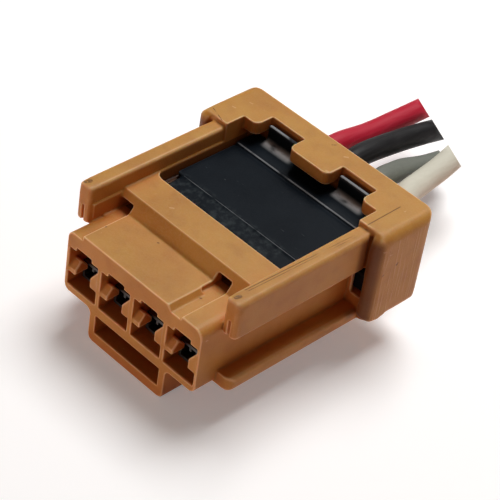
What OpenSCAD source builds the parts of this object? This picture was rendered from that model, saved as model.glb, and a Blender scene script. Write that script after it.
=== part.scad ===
// Four-way cable connector: tan housing, black terminal retainer, four crimped receptacles and their wires.
// X runs across the cavities, -Y is the mating face, +Y the wire side and +Z up. All lengths are millimetres.

/* [Cavities] */
// Wall outside the first and the last cavity
side_wall = 0.46; // [0.4:0.02:0.7]
// Wall between two cavities at the mating face
partition = 0.72; // [0.6:0.02:0.9]
// Height of a cavity at the mating face
cavity_h = 6.1; // [5.9:0.1:6.4]
// How far the guide ribs stand into a cavity
rib_reach = 1.35; // [0.8:0.05:1.5]
// Height of the shallow channel in a cavity roof
roof_channel = 0.55; // [0.2:0.05:0.8]
// Width of the shallow channel in a cavity roof
roof_channel_w = 3; // [2.4:0.1:3.6]

/* [Nose and deck] */
// Half width of the nose and of the deck between the rails
core_half = 12.5; // [12.4:0.1:12.8]
// Thickness of the nose floor under the cavities
nose_floor = 1.1; // [0.9:0.1:1.4]
// Height of the low nose roof above the cavities
ledge_top = 2.45; // [2.2:0.05:2.6]
// Height of the key pad's top above the cavities
pad_top = 3.2; // [2.8:0.1:3.5]
// Wall left beyond the left key channel
left_shelf = 0.2; // [0.1:0.05:0.5]
// Width of the raised shelf beyond the right key channel
right_shelf = 3.8; // [3.4:0.1:4.2]
// Length of the key pad, from the mating face to the ramp
pad_length = 7.6; // [7:0.1:8]
// Width of the two key channels beside the pad
key_width = 2.5; // [2:0.1:2.6]
// Height of the deck above the cavities
deck_top = 5.2; // [5:0.1:5.4]

/* [Rails and flanges] */
// Width of a guide rail
rail_w = 2.5; // [2.2:0.1:3]
// Underside of the rails
rail_bottom = 1.8; // [1.5:0.1:2]
// Top of the rails
rail_top = 7.4; // [7:0.1:7.6]
// Front end of the rails and flanges, behind the mating face
rail_front = 3.2; // [3:0.1:4.5]
// Thickness of the bottom side flanges
flange_t = 2; // [1.5:0.1:2.4]

/* [Rear block] */
// Width of the rear block
block_w = 34.6; // [34:0.2:36]
// Length of the rear block
block_l = 9.7; // [9.5:0.1:9.9]
// Overall length of the housing
body_l = 36.5; // [36:0.1:38]
// Slope of the rear face, as the setback at its foot
rear_draft = 0.7; // [0.3:0.1:1]
// How far the rounded ears stand out in front of the rear block
ear_reach = 0.9; // [0.6:0.1:1.2]
// Depth of the groove between a rail and its ear, behind the front of the rear block
groove_depth = 0.8; // [0.4:0.1:1]
// Top of the rear block
block_top = 8.1; // [7.8:0.1:8.6]
// Depth of the two notches between the lobes that reach over the retainer
notch_depth = 3.1; // [2.7:0.1:3.3]
// Thickness of the lobes
lobe_t = 2; // [1.6:0.1:2.1]
// Thickness of the bar behind the notches
rear_bar = 3.3; // [2.9:0.1:3.5]
// Half width of the middle lobe
mid_lobe_half = 3.35; // [3:0.05:3.6]
// Inner edge of the outer lobes
outer_lobe = 9.9; // [9.6:0.1:10.1]

/* [Lock sleeve] */
// Outer width of the lock sleeve under the nose
sleeve_w = 14.4; // [14:0.1:15]
// Clear height of the lock slot
slot_h = 2.9; // [2.6:0.1:3.2]
// Side wall of the lock sleeve
sleeve_wall = 1.1; // [0.9:0.1:1.3]
// Floor of the lock sleeve
sleeve_floor = 1.6; // [1.4:0.1:1.9]
// Length of the lock sleeve
sleeve_l = 29; // [27:0.5:32]

/* [Retainer] */
// Front edge of the window in the deck
window_front = 14.4; // [14.2:0.1:14.6]
// Clearance all round the retainer
retainer_gap = 0.2; // [0.15:0.05:0.3]
// Travel from the locked to the released position
retainer_travel = 1.2; // [1:0.1:1.3]

/* [Wires] */
// Outer diameter of the red wire
red_od = 2.7; // [2.4:0.1:3.2]
// Outer diameter of the black wire
black_od = 2.8; // [2.4:0.1:3.2]
// Outer diameter of the grey wire
grey_od = 2.9; // [2.4:0.1:3.2]
// Outer diameter of the white wire
white_od = 3.2; // [2.4:0.1:3.2]

/* [Hidden] */
$fn = 48;
ways = 4;

tan_plastic = "#B68C58";
black_plastic = "#202426";
tin = "#B4B8BA";
copper = "#B87346";

// The cavities fill the nose between its side walls, and the pad keeps its distance from both sides
pitch = (2 * (core_half - side_wall) + partition) / ways;
pad_left = key_width + left_shelf - core_half;
pad_right = core_half - right_shelf - key_width;
// The rear block, its notches and its lobes keep their distance from the rear face
block_front = body_l - block_l;
notch_back = body_l - rear_bar;
lobe_front = notch_back - notch_depth;

// Levels are measured from the cavity roof at the mating face, which is z = 0
cavity_half = (pitch - partition) / 2;
nose_bottom = -cavity_h - nose_floor;
slot_top = nose_bottom - 0.5;
slot_bottom = slot_top - slot_h;
sleeve_bottom = slot_bottom - sleeve_floor;
sleeve_half = sleeve_w / 2;
block_half = block_w / 2;
block_bottom = nose_bottom + 0.5;
ear_bottom = block_bottom + 0.4;
rail_out = core_half + rail_w;
flange_front = rail_front + 0.4;
// Run of the ramp behind the key pad for each millimetre of rise
ramp_run = 0.8;
// Shallow groove in the tip of a rail: its upper end
tip_groove_top = rail_bottom + 2.5;
rail_end = block_front - 0.3;
rail_end_r = 0.5;
// Rounding of the rear block's long edges, and of its ears
block_edge = 1.5;
ear_r = 1.6;
window_half = core_half - 0.2;
// Both notches end this much short on their right, where the lobes are wider
notch_trim = 0.5;
recess_floor = deck_top - 2;

// Passages behind the mating face: wide at the bottom for the receptacle, narrower above for the wire
passage_start = 9;
passage_half = cavity_half - 0.14;
passage_shoulder = -3;
passage_upper_half = cavity_half - 0.64;
passage_top = 0.3;
passage_edge = 0.6;

// Sheet of the receptacles, and the depth to which their top edges are rolled in
sheet = 0.4;
roll = 0.9;

// Places along the cavities and terminals, from the mating face
rib_start = 0.1;
rib_end = 2.3;
// Levels of a guide rib: its top at the wall, the top and the foot of its inner face
rib_top = -0.7;
rib_face_top = -2.6;
rib_foot = -4.05;
// The left ribs are lower: a lead-in rises over a length to a narrow crest, then they fall away again
left_rib_top = -2.2;
lead_foot = -3.4;
lead_in = 0.9;
crest_l = 0.3;
rib_tail = -3.3;
// The receptacles stand just behind the ribs, and their mouths are closed boxes over this length
box_front = rib_end + 0.2;
mouth_l = 1.5;
box_end = 15.5;
spine_l = 3.7;
crimp_l = 3.4;
bare_l = 0.7;
grip_setback = 0.5;
grip_l = 2.1;
crimp_front = box_end + spine_l;
crimp_end = crimp_front + crimp_l;
wire_start = crimp_end + bare_l;
grip_front = wire_start + grip_setback;
grip_end = grip_front + grip_l;
terminal_end = grip_end + sheet;

// Receptacle section
box_half = passage_half - 0.1;
box_h = 2.9;
terminal_floor = -cavity_h;
spine_half = 0.9;
spine_top = terminal_floor + 0.75;
wire_axis = -3.75;
conductor_r = 0.9;
crimp_r = 0.73;
crimp_roll = 0.62;
crimp_half = crimp_r + crimp_roll;

// The retainer's fingers drop behind the receptacles, and its two legs end in lugs at the sides
finger_front = box_end + 0.4;
finger_end = finger_front + 2.4;
finger_half = passage_upper_half - retainer_gap;
finger_bottom = -4.2;
finger_slot_half = cavity_x(ways - 1) + finger_half + 0.4;
leg_front = block_front + 0.8;
leg_end = leg_front + 2.1;
leg_out = window_half - retainer_gap;
leg_in = leg_out - 0.7;
leg_bottom = -3.2;
lug_out = core_half + 2.4;
lug_top = -0.4;
// Side pocket of a lug, open through the front of the rear block beyond its inner edge
pocket_in = core_half + 0.65;
pocket_bottom = leg_bottom - 0.2;
pocket_top = lug_top + retainer_travel + 0.6;

// Routes of the wires, from the crimp to the free end: chosen points on each centre line
// All four end in the same slanted cut, which faces this way
cut_facing = [0.368, 0.731, 0.575];
red_route = [[0, wire_start, wire_axis], [0, 30, -3.7], [0, 37, -3.3], [-0.2, 43, -2.8], [-0.3, 48, -2.5],
    [-0.2, 54, -3.3], [-0.1, 60, -3.5], [0, 66.8, -3.6]];
black_route = [[0, wire_start, wire_axis], [0, 30, -3.7], [-0.1, 37, -3], [-0.8, 42, -1.8], [-1.5, 47, -1.3],
    [-1.9, 55, -2.6], [-1.7, 61, -3.4], [-1.5, 64.5, -3.9]];
grey_route = [[0, wire_start, wire_axis], [0, 30, -3.7], [-0.3, 37, -2.7], [-1.2, 41, -1.4], [-2, 45, -0.8],
    [-2.8, 49, -1.9], [-3.4, 52, -3], [-3.9, 57, -5], [-4, 61, -6]];
white_route = [[0, wire_start, wire_axis], [0, 30, -3.7], [-0.3, 37, -2.6], [-2.1, 41.5, -1.7],
    [-4.1, 46, -1.3], [-5.5, 51, -2.3], [-6.3, 56, -2.5], [-7.1, 60.1, -2.5]];

function cavity_x(way) = (way - (ways - 1) / 2) * pitch;

// Points of an arc about a centre, from one angle to another
function arc(centre, r, from, to, steps = 6) =
    [for (i = [0:steps])
        let (turn = from + (to - from) * i / steps)
        centre + r * [cos(turn), sin(turn)]];

// Outline of a rectangle with rounded corners, given by its low and high corners
function round_rect(low, high, r) = concat(
    arc([high[0] - r, high[1] - r], r, 0, 90), arc([low[0] + r, high[1] - r], r, 90, 180),
    arc([low[0] + r, low[1] + r], r, 180, 270), arc([high[0] - r, low[1] + r], r, 270, 360));

// Extrudes an outline drawn in X and Z along Y
module along_y(from, to) {
    translate([0, to, 0])
        rotate([90, 0, 0])
            linear_extrude(to - from)
                children();
}

// Extrudes an outline drawn in Y and Z along X, centred
module along_x(length) {
    rotate([90, 0, 90])
        linear_extrude(length, center = true)
            children();
}

// A box between two corners
module block(low, high) {
    translate(low)
        cube(high - low);
}

// Puts the finished shape in the part's frame: centred along Y and standing on the lock sleeve
module placed() {
    translate([0, -body_l / 2, -sleeve_bottom])
        children();
}

// Housing, solid shapes

// Nose, ramp and deck: a side profile crossed with a rounded front outline
module core() {
    ramp = (deck_top - pad_top) * ramp_run;
    ramp_foot = pad_length - (pad_top - ledge_top) * ramp_run;
    intersection() {
        along_x(2 * core_half + 1)
            polygon([[0, nose_bottom], [0, ledge_top], [ramp_foot, ledge_top], [pad_length + ramp, deck_top],
                [block_front + 2, deck_top], [block_front + 2, nose_bottom]]);
        union() {
            along_y(-1, pad_length - 1.5)
                polygon(round_rect([-core_half, nose_bottom], [core_half, ledge_top], 1));
            along_y(pad_length - 2, block_front + 3)
                polygon(round_rect([-core_half, nose_bottom], [core_half, deck_top + 3], 1));
        }
    }
}

// Off-centre key pad with a sloped right flank, and the raised shelf beyond the right key channel
module key_pad() {
    low = ledge_top - 0.5;
    along_y(0, pad_length + 0.3)
        polygon([[pad_left, low], [pad_left, pad_top], [pad_right, pad_top], [pad_right + 0.7, ledge_top],
            [pad_right + 0.7, low]]);
    along_y(0, pad_length)
        polygon(concat([[pad_right + key_width, low - 1], [core_half, low - 1]],
            arc([core_half - 1.4, ledge_top + 0.55 - 1.4], 1.4, 0, 90),
            [[pad_right + key_width, ledge_top + 0.55]]));
}

// Guide rail with rounded long edges and a rounded front end; side is 1 on the right, -1 on the left
module rail(side) {
    mirror([side > 0 ? 0 : 1, 0, 0])
        difference() {
            intersection() {
                along_y(rail_front - 1, block_front + 1)
                    polygon(concat([[core_half - 0.2, rail_bottom]],
                        arc([rail_out - 0.35, rail_bottom + 0.35], 0.35, 270, 360),
                        arc([rail_out - 0.7, rail_top - 0.7], 0.7, 0, 90),
                        arc([core_half + 0.45, rail_top - 0.45], 0.45, 90, 180),
                        [[core_half, deck_top - 0.4], [core_half - 0.2, deck_top - 0.4]]));
                translate([0, 0, rail_bottom - 1])
                    linear_extrude(rail_top - rail_bottom + 2)
                        polygon(concat([[core_half - 1, block_front + 1], [core_half - 1, rail_front + 0.6]],
                            arc([core_half + 0.6, rail_front + 0.6], 0.6, 180, 270),
                            arc([rail_out - 0.8, rail_front + 0.8], 0.8, 270, 360),
                            [[rail_out, block_front + 1]]));
            }
            // shallow groove in the lower half of the front end
            block([core_half + 1, rail_front - 1, rail_bottom - 1],
                [core_half + 1.4, rail_front + 0.35, tip_groove_top]);
        }
}

// Bottom flange along each side
module flange(side) {
    mirror([side > 0 ? 0 : 1, 0, 0])
        intersection() {
            along_y(flange_front - 1, block_front + 1)
                polygon(concat([[core_half - 1, nose_bottom]],
                    arc([rail_out - 0.6, nose_bottom + 0.6], 0.6, 270, 360),
                    arc([rail_out - 0.6, nose_bottom + flange_t - 0.6], 0.6, 0, 90),
                    [[core_half - 1, nose_bottom + flange_t]]));
            translate([0, 0, nose_bottom - 1])
                linear_extrude(flange_t + 2)
                    polygon(concat([[core_half - 1, flange_front]],
                        arc([rail_out - 1.2, flange_front + 1.2], 1.2, 270, 360),
                        [[rail_out, block_front + 1], [core_half - 1, block_front + 1]]));
        }
}

// Rear block: rounded plan crossed with a rounded rear outline and a side profile with a sloped rear face
module rear_block() {
    intersection() {
        translate([0, 0, block_bottom - 1])
            linear_extrude(block_top - block_bottom + 2)
                polygon(round_rect([-block_half, block_front], [block_half, body_l], 1.8));
        along_y(block_front - 1, body_l + 1)
            polygon(round_rect([-block_half, block_bottom], [block_half, block_top], block_edge));
        along_x(block_w + 1)
            polygon([[block_front - 1, block_bottom - 1], [body_l - rear_draft, block_bottom - 1],
                [body_l, block_top], [block_front - 1, block_top + 1]]);
    }
    for (side = [-1, 1])
        ear(side);
}

// Rounded ear that stands in front of the rear block, outside the rail
module ear(side) {
    front = block_front - ear_reach;
    root = block_front + 3;
    flank = rail_out + 0.05;
    ear_top = block_top - 0.1;
    mirror([side > 0 ? 0 : 1, 0, 0])
        intersection() {
            translate([0, 0, ear_bottom])
                linear_extrude(block_top - ear_bottom)
                    polygon(concat([[block_half, root], [flank, root], [flank, block_front + groove_depth]],
                        arc([block_half - ear_r, front + ear_r], ear_r, 262, 360)));
            along_x(block_w + 1)
                polygon(concat(arc([front + ear_r, ear_bottom + ear_r], ear_r, 180, 270),
                    [[root, ear_bottom], [root, ear_top]],
                    arc([front + ear_r, ear_top - ear_r], ear_r, 90, 180)));
            along_y(front - 1, root)
                polygon(round_rect([-block_half, ear_bottom - 1], [block_half, ear_top + 0.05], block_edge));
        }
}

// Lock sleeve under the nose, flared where it meets it
module sleeve() {
    top = nose_bottom + 0.3;
    flare = 0.9;
    along_y(0, sleeve_l)
        polygon(concat(
            arc([sleeve_half - 0.8, sleeve_bottom + 0.8], 0.8, 270, 360),
            arc([sleeve_half + flare, nose_bottom - flare], flare, 180, 90),
            [[sleeve_half + flare, top], [-sleeve_half - flare, top]],
            arc([-sleeve_half - flare, nose_bottom - flare], flare, 90, 0),
            arc([-sleeve_half + 0.8, sleeve_bottom + 0.8], 0.8, 180, 270)));
}

// Section of a guide rib on the right wall of a cavity
module rib_section() {
    polygon([[cavity_half + 0.2, rib_top], [cavity_half, rib_top], [cavity_half - rib_reach, rib_face_top],
        [cavity_half - rib_reach, rib_foot], [cavity_half + 0.2, rib_foot]]);
}

// Guide ribs on both sides of a cavity: the right one is flush, the left one is lower with a sloped lead-in
module cavity_ribs() {
    along_y(rib_start, rib_end)
        rib_section();
    translate([rib_reach / 2 - 0.1 - cavity_half, 0, 0])
        along_x(rib_reach + 0.2)
            polygon([[rib_start, rib_foot], [rib_start, lead_foot], [rib_start + lead_in, left_rib_top],
                [rib_start + lead_in + crest_l, left_rib_top], [rib_end, rib_tail], [rib_end, rib_foot]]);
}

// Housing, hollow shapes

// Space of one cavity: the open mouth, its roof channel and the passage back to the wire side
module cavity_space() {
    difference() {
        block([-cavity_half, -1, -cavity_h], [cavity_half, passage_start, 0]);
        cavity_ribs();
    }
    block([-roof_channel_w / 2, -1, -1], [roof_channel_w / 2, passage_start, roof_channel]);
    block([-passage_half, passage_start - 1, -cavity_h], [passage_half, body_l + 1, passage_shoulder]);
    along_y(passage_start - 1, body_l + 1)
        polygon(round_rect([-passage_upper_half, passage_shoulder - 1],
            [passage_upper_half, passage_top], passage_edge));
}

// Half of the window outline, from the front edge round the outer lobe to the middle lobe
function half_window(outer, mid) = concat(
    arc([window_half - 1.2, window_front + 1.2], 1.2, 270, 360),
    [[window_half, lobe_front]],
    arc([outer + 1, lobe_front + 1], 1, 270, 180),
    [[outer, notch_back], [mid, notch_back]],
    arc([mid - 1, lobe_front + 1], 1, 0, -90));

function mirrored(points) = [for (i = [len(points) - 1:-1:0]) [-points[i][0], points[i][1]]];

// Window in the deck for the retainer, with the slot for its fingers
module window_space() {
    translate([0, 0, recess_floor])
        linear_extrude(block_top)
            polygon(concat(half_window(outer_lobe - notch_trim, mid_lobe_half),
                mirrored(half_window(outer_lobe, mid_lobe_half + notch_trim))));
    block([-window_half, lobe_front - 1, recess_floor], [window_half, notch_back, block_top - lobe_t]);
    block([-finger_slot_half, finger_front - 0.3, 0], [finger_slot_half, finger_end + 0.3, recess_floor + 1]);
}

// Slot for a retainer leg, and the side pocket that its lug works in
module leg_space(side) {
    mirror([side > 0 ? 0 : 1, 0, 0]) {
        block([leg_in - 0.3, leg_front - 0.25, leg_bottom - 0.15],
            [window_half, leg_end + 0.25, recess_floor + 1]);
        block([core_half - 0.3, leg_front - 0.25, pocket_bottom], [lug_out + 0.6, leg_end + 0.3, pocket_top]);
        block([pocket_in, block_front - 1, pocket_bottom], [lug_out + 0.6, leg_front, pocket_top]);
    }
}

// Groove that parts the rounded end of a rail from the ear and runs down to the side pocket
module groove_space(side) {
    round_y = rail_end - rail_end_r;
    mirror([side > 0 ? 0 : 1, 0, 0])
        translate([0, 0, pocket_bottom])
            linear_extrude(rail_top - pocket_bottom - 0.3)
                polygon(concat([[rail_out + 0.4, round_y], [rail_out + 0.01, round_y]],
                    arc([rail_out - rail_end_r, round_y], rail_end_r, 0, 90),
                    [[rail_out - rail_end_r, block_front], [rail_out, block_front + groove_depth]]));
}

// Key channels run on into the ramp as pockets
module key_space() {
    for (x = [pad_left - key_width, pad_right])
        block([x, pad_length - 2, ledge_top], [x + key_width, pad_length + 3.5, deck_top - 1]);
}

module housing() {
    color(tan_plastic)
        placed()
            difference() {
                union() {
                    core();
                    key_pad();
                    for (side = [-1, 1]) {
                        rail(side);
                        flange(side);
                    }
                    rear_block();
                    sleeve();
                }
                for (way = [0:ways - 1])
                    translate([cavity_x(way), 0, 0])
                        cavity_space();
                window_space();
                for (side = [-1, 1]) {
                    leg_space(side);
                    groove_space(side);
                }
                key_space();
                block([sleeve_wall - sleeve_half, -1, slot_bottom],
                    [sleeve_half - sleeve_wall, sleeve_l + 1, slot_top]);
            }
}

// Retainer: stepped plate in the window, thumb lugs in the notches, fingers over the passages and two legs
module retainer() {
    half = window_half - retainer_gap;
    plate_low = recess_floor + 0.1;
    panel_top = deck_top - 0.95;
    strip_top = panel_top + 0.3;
    apron_top = panel_top - 0.25;
    apron_low = apron_top - 0.45;
    panel_front = finger_end - 0.2;
    panel_end = lobe_front - 1.3;
    line_groove = 0.25;
    strip_edge = 0.25;
    front = window_front + 0.25;
    back = notch_back - 0.3;
    thumb_in = [mid_lobe_half + 0.3, mid_lobe_half + notch_trim + 0.3];
    thumb_out = [outer_lobe - notch_trim - 0.3, outer_lobe - 0.3];
    thumb_top = block_top - 0.7;
    thumb_front = back - 0.8;
    thumb_edge = 0.35;
    edge_z = thumb_top - thumb_edge;
    step_front = thumb_front - 0.9;
    step_rise = 0.65;
    color(black_plastic)
        placed()
            union() {
                along_x(2 * half)
                    polygon(concat([[panel_front, plate_low], [panel_front, panel_top],
                        [panel_end - line_groove, panel_top],
                        [panel_end - line_groove, panel_top - line_groove], [panel_end, panel_top - line_groove]],
                        arc([panel_end + strip_edge, strip_top - strip_edge], strip_edge, 180, 90),
                        [[back, strip_top], [back, plate_low]]));
                along_x(2 * half - 2.2)
                    polygon([[front, plate_low], [front, apron_low], [panel_front - 0.4, apron_top],
                        [panel_front + 1, apron_top], [panel_front + 1, plate_low]]);
                for (side = [0, 1])
                    mirror([side, 0, 0]) {
                        // thumb lug with a sloped step at its foot
                        translate([(thumb_in[side] + thumb_out[side]) / 2, 0, 0])
                            along_x(thumb_out[side] - thumb_in[side])
                                polygon(concat([[back, strip_top - 0.5], [step_front, strip_top - 0.5],
                                    [step_front, strip_top], [thumb_front, strip_top + step_rise]],
                                    arc([thumb_front + thumb_edge, edge_z], thumb_edge, 180, 90),
                                    arc([back - thumb_edge, edge_z], thumb_edge, 90, 0)));
                        block([leg_in, leg_front, leg_bottom], [leg_out, leg_end, panel_top - 0.3]);
                        block([leg_in + 0.1, leg_front, leg_bottom], [lug_out, leg_end, lug_top]);
                    }
                for (way = [0:ways - 1])
                    block([cavity_x(way) - finger_half, finger_front, finger_bottom],
                        [cavity_x(way) + finger_half, finger_end, plate_low + 0.5]);
            }
}

// Folded receptacle: sprung box, spine, conductor crimp and insulation grip for a wire of the given diameter
module terminal(way, wire_od) {
    grip_r = wire_od / 2 + 0.12;
    top = terminal_floor + box_h;
    color(tin)
        placed()
            translate([cavity_x(way), 0, 0])
                union() {
                    along_y(box_front, box_end)
                        polygon([[-box_half, terminal_floor], [box_half, terminal_floor], [box_half, top],
                            [sheet, top], [sheet, top - roll], [2 * sheet, top - roll], [2 * sheet, top - sheet],
                            [box_half - sheet, top - sheet], [box_half - sheet, terminal_floor + sheet],
                            [sheet - box_half, terminal_floor + sheet], [sheet - box_half, top - sheet],
                            [-2 * sheet, top - sheet], [-2 * sheet, top - roll], [-sheet, top - roll], [-sheet, top],
                            [-box_half, top]]);
                    block([-box_half, box_front, top - sheet], [box_half, box_front + mouth_l, top]);
                    along_y(box_end - 1, terminal_end)
                        polygon([[-spine_half - 0.5, terminal_floor], [spine_half + 0.5, terminal_floor],
                            [spine_half, spine_top], [-spine_half, spine_top]]);
                    difference() {
                        along_y(crimp_front, crimp_end)
                            polygon(concat([[crimp_half, spine_top - 0.2]],
                                arc([crimp_roll, wire_axis + 0.5], crimp_r, 0, 150),
                                arc([-crimp_roll, wire_axis + 0.5], crimp_r, 30, 180),
                                [[-crimp_half, spine_top - 0.2]]));
                        along_y(crimp_front - 1, crimp_end + 1)
                            translate([0, wire_axis])
                                circle(conductor_r);
                    }
                    difference() {
                        along_y(grip_front, grip_end)
                            translate([0, wire_axis])
                                circle(grip_r + sheet);
                        along_y(grip_front - 1, grip_end + 1)
                            translate([0, wire_axis])
                                circle(grip_r);
                        block([-0.4, grip_front - 1, wire_axis], [0.4, grip_end + 1, 0]);
                        block([-pitch / 2, grip_front - 1, terminal_floor - 1],
                            [pitch / 2, grip_end + 1, terminal_floor]);
                    }
                }
}

// Stripped end of the conductor, from the crimp to the insulation
module conductor(way) {
    color(copper)
        placed()
            translate([cavity_x(way), 0, 0])
                along_y(crimp_front - 0.5, wire_start)
                    translate([0, wire_axis])
                        circle(conductor_r);
}

// Smooth point on a route at parameter t, passing through every route point
function route_at(route, t) =
    let (last = len(route) - 1, i = min(floor(t), last - 1), u = t - i,
        a = route[max(i - 1, 0)], b = route[i], c = route[i + 1], d = route[min(i + 2, last)])
    b + 0.5 * u * ((c - a) + u * ((2 * a - 5 * b + 4 * c - d) + u * (3 * b - 3 * c + d - a)));

function unit(v) = v / norm(v);

// One ring of points round a route
function ring(route, t, r, sides) =
    let (h = 0.02, last = len(route) - 1,
        along = unit(route_at(route, min(t + h, last)) - route_at(route, max(t - h, 0))),
        across = unit(cross(along, [0, 0, 1])), up = cross(across, along), centre = route_at(route, t))
    [for (s = [0:sides - 1])
        let (turn = (s + 0.5) * 360 / sides)
        centre + r * (across * cos(turn) + up * sin(turn))];

// Last ring of a route, slid along the wire onto the slanted cut
function cut_ring(route, r, sides) =
    let (last = len(route) - 1, end = route[last], along = unit(end - route_at(route, last - 0.02)))
    [for (p = ring(route, last, r, sides)) p + along * ((end - p) * cut_facing) / (along * cut_facing)];

// Insulation of one wire: a tube swept along its route
module wire(way, route, od, shade) {
    sides = 8;
    rings = len(route);
    points = concat([for (k = [0:rings - 2]) each ring(route, k, od / 2, sides)],
        cut_ring(route, od / 2, sides));
    walls = [for (k = [0:rings - 2], s = [0:sides - 1])
        let (a = k * sides + s, b = k * sides + (s + 1) % sides)
        each [[a, a + sides, b], [b, a + sides, b + sides]]];
    start_cap = [[for (s = [0:sides - 1]) s]];
    end_cap = [[for (s = [sides - 1:-1:0]) (rings - 1) * sides + s]];
    color(shade)
        placed()
            translate([cavity_x(way), 0, 0])
                polyhedron(points, concat(walls, start_cap, end_cap));
}

housing();
retainer();
terminal(0, red_od);  // terminal_1
terminal(1, black_od);  // terminal_2
terminal(2, grey_od);  // terminal_3
terminal(3, white_od);  // terminal_4
conductor(0);  // conductor_1
conductor(1);  // conductor_2
conductor(2);  // conductor_3
conductor(3);  // conductor_4
wire(0, red_route, red_od, "#B01828");  // wire_red
wire(1, black_route, black_od, "#1A1A1C");  // wire_black
wire(2, grey_route, grey_od, "#70746C");  // wire_grey
wire(3, white_route, white_od, "#CFCDBD");  // wire_white
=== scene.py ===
"""Looks of the cable connector: moulded housing and retainer, plated receptacles, cut wires and the stage."""

import bmesh
import bpy
import numpy as np
from mathutils import Matrix, Vector


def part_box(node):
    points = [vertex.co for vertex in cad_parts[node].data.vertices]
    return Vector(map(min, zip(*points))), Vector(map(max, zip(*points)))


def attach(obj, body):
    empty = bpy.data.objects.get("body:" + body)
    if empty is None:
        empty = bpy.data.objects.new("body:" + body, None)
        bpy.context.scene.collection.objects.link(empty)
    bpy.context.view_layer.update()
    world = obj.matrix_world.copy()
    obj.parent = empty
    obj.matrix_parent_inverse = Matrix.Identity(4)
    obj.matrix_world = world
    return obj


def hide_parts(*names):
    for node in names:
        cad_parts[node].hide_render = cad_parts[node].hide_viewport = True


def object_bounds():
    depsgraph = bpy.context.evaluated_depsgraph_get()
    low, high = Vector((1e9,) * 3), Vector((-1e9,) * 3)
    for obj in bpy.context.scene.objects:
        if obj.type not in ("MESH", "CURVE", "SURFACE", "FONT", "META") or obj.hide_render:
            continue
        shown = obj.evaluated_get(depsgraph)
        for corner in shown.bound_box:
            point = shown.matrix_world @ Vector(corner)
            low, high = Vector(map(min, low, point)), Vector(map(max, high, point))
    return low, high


bl_info = {
    "name": "Cable connector",
    "version": (1, 0, 0),
    "blender": (4, 5, 0),
    "location": "View3D > Sidebar > Connector",
    "description": "Dresses the solids of a cable connector with their finishes, wires and stage",
    "category": "Object",
}

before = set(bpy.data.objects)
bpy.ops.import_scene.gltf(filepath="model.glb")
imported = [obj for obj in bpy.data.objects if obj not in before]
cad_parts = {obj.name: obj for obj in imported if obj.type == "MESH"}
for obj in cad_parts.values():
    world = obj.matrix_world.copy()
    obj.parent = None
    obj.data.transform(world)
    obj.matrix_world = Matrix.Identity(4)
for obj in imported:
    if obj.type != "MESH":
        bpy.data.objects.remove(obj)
CAD_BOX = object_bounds()

MM = 0.001
BODY = "connector"
RETAINER_BODY = "retainer"
# Mesh attribute that tells outer edges from inner corners, and how many times it is spread to the neighbours
EDGE = "edge"
EDGE_SPREAD = 2
# Distance under which two vertices of a solid are one, in millimetres
WELD = 1e-4
# Share of the way to its neighbours that a smoothing pass moves a vertex
SMOOTHING = 0.5
# How steeply the smoothing of a worn corner fades towards its reach
CORNER_FADE = 2.5
# Weight that large faces have in the normals
FLAT_WEIGHT = 80

# Marks on the mouldings, each from one point to another in the part's frame, and how wide, all in millimetres
SEAMS = (
    ((13.7, 8.3, 20.3), (13.64, 14.9, 20.3), 0.16),
    ((-16.1, 9.56, 20.3), (-12.96, 8.46, 20.3), 0.16),
    ((13.02, -12.35, 19.6), (13.63, 6.55, 19.6), 0.13),
    ((13.4, -12.1, 19.6), (13.95, 6.4, 19.6), 0.1),
)
DARK_MARKS = (
    ((-14.25, -14.35, 19.6), (-14.0, -13.9, 19.6), 0.7),
    ((13.4, -14.2, 19.6), (13.5, -13.7, 19.6), 0.6),
    ((17.3, 11.7, 14.7), (17.3, 11.8, 14.8), 0.4),
    ((17.3, 9.2, 13.9), (17.3, 9.35, 14.0), 0.25),
    ((-0.85, 17.1, 20.3), (-0.5, 17.55, 20.3), 0.16),
    ((-9.55, -14.7, 15.4), (-9.5, -14.6, 15.4), 0.2),
    ((-3.3, -11.35, 15.4), (-3.2, -11.3, 15.4), 0.25),
    ((7.15, -13.55, 14.65), (7.2, -13.45, 14.65), 0.25),
)
LIGHT_MARKS = (
    ((1.95, 16.6, 20.3), (2.3, 16.9, 20.3), 0.3),
    ((-5.95, -7.1, 17.4), (-5.6, -6.8, 17.4), 0.25),
    ((2.65, 12.4, 20.3), (2.95, 12.45, 20.3), 0.3),
    ((-14.8, 12.0, 20.3), (-14.3, 12.1, 20.3), 0.2),
    ((-14.1, 14.6, 20.3), (-13.6, 14.7, 20.3), 0.15),
)
# Pale lines on the retainer, partly from rubbing and partly a painted highlight along its rounded edges
RUBBED_AND_HIGHLIGHT_LINES = (
    ((-11.9, 10.65, 16.72), (11.9, 10.65, 16.72), 0.3),
    ((-11, -0.12, 16.43), (11, -0.12, 16.43), 0.14),
    ((-9.4, 14.1, 19.58), (-4.3, 14.1, 19.58), 0.4),
    ((3.8, 14.1, 19.58), (8.9, 14.1, 19.58), 0.4),
)

# Boxes that hold a mark on the mouldings, each from its low to its high corner, in millimetres
# the window walls and ledge, the key pockets and the ear fronts hold painted shade
WINDOW_WALLS = ((-12.33, -3.95, 15.2), (12.33, 13, 17.1))
KEY_POCKETS = ((-12, -9.1, 14.6), (12, -7, 16.5))
WINDOW_LEDGE = ((-12.33, -3.95, 15), (12.33, 0.3, 15.7))
EAR_FRONTS = (
    ((-17.8, 6.5, 6.2), (-14.6, 8.6, 19.2)),
    ((14.6, 6.5, 6.2), (17.8, 8.6, 19.2)),
)
BLOCK_SIDE = ((17.1, 7, 4), (17.6, 20, 19))
PANEL_FRONT = ((-12.2, -4, 14.5), (8, 0.4, 16.6))
# the thumb steps hold pale scuffs with a painted highlight
THUMB_STEPS = (
    ((-9.4, 12.95, 16.7), (-4.4, 13.85, 17.5)),
    ((3.8, 12.95, 16.7), (8.8, 13.85, 17.5)),
)

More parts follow.
